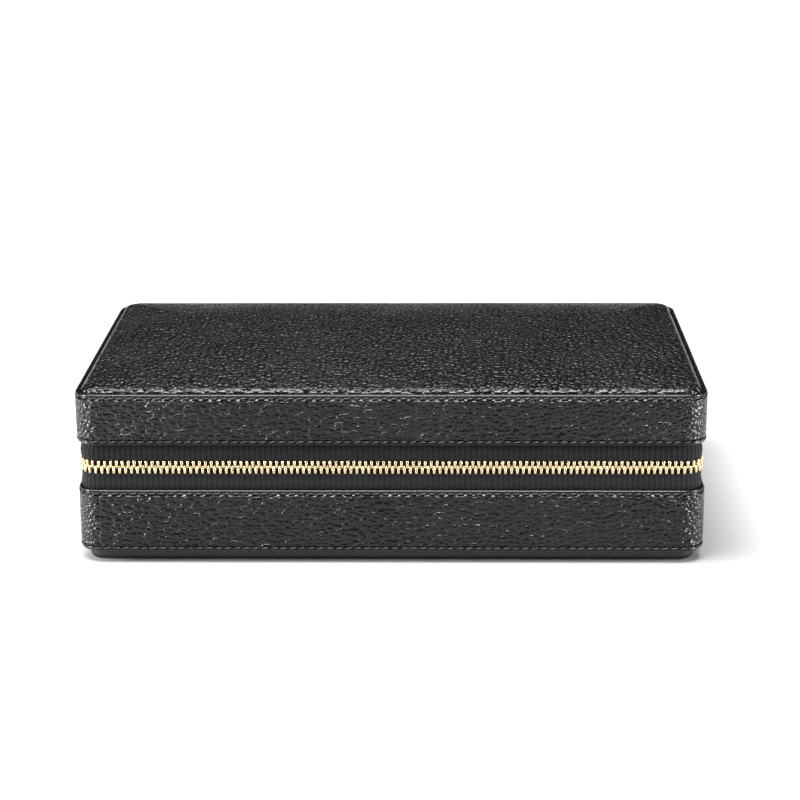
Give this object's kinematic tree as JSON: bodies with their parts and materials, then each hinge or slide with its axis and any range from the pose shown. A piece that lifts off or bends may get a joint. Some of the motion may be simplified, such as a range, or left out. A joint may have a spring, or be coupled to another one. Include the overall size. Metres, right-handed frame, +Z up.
{
  "type": "leather jewellery case",
  "caption": "Shallow rectangular black grained-leather jewellery case with a padded lid, stitched bands, a brass zip round three sides and a lined interior.",
  "frame": {"origin": "the middle of the flat underside that the case rests on", "axes": "+X along the case's width to the right, +Y from its front towards its hinge, +Z up"},
  "size_m": [0.2227, 0.132, 0.063],
  "materials": {
    "grained_leather": "pebbled, semi-gloss",
    "smooth_leather": "smooth, satin",
    "board": "matte grey board",
    "foam": "matte foam",
    "lining": "microsuede",
    "elastic": "ribbed",
    "zip_tape": "woven, matte",
    "brass": "polished pale brass",
    "mirror": "polished"
  },
  "bodies": {
    "base": {"bottom_panel": "smooth_leather", "base_board": "board", "base_band": "grained_leather", "base_lining": "lining", "base_zip_tape": "zip_tape", "base_zip_teeth": "brass", "base_zip_end_stop": "brass", "zip_bottom_stop": "brass", "back_hinge": "grained_leather", "ring_divider": "lining", "cross_divider": "lining", "ring_roll_1": "lining", "ring_roll_2": "lining", "ring_roll_3": "lining", "ring_roll_4": "lining", "ring_roll_5": "lining", "ring_roll_6": "lining", "ring_roll_7": "lining", "cell_divider_1": "lining", "cell_divider_2": "lining"},
    "lid": {"lid_board": "board", "lid_band": "grained_leather", "lid_lining": "lining", "lid_top_foam": "foam", "lid_top_leather": "grained_leather", "lid_zip_tape": "zip_tape", "lid_zip_teeth": "brass", "lid_zip_end_stop": "brass", "mirror_frame": "grained_leather", "mirror_glass": "mirror", "hook_rail": "lining", "lid_pocket": "lining", "pocket_elastic": "elastic", "necklace_hook_1": "brass", "necklace_hook_2": "brass", "necklace_hook_3": "brass", "necklace_hook_4": "brass"},
    "slider": {"zip_slider": "brass"},
    "pull": {"pull_loop": "brass", "pull_tab": "grained_leather"}
  },
  "joints": [
    {"name": "lid_hinge", "type": "hinge", "parent": "base", "child": "lid", "pos_m": [0, 0.066, 0.0351], "axis": [-1, 0, 0], "range_deg": [0, 105], "deforming": ["back_hinge", "base_zip_tape", "lid_zip_tape", "base_zip_teeth", "lid_zip_teeth"]},
    {"name": "zip_slide", "type": "slide", "parent": "base", "child": "slider", "axis": [0, -1, 0], "range_m": [0, 0.08]},
    {"name": "pull_swing", "type": "hinge", "parent": "slider", "child": "pull", "pos_m": [0.11115, 0.048, 0.0351], "axis": [0, 0, 1], "range_deg": [0, 170]}
  ]
}
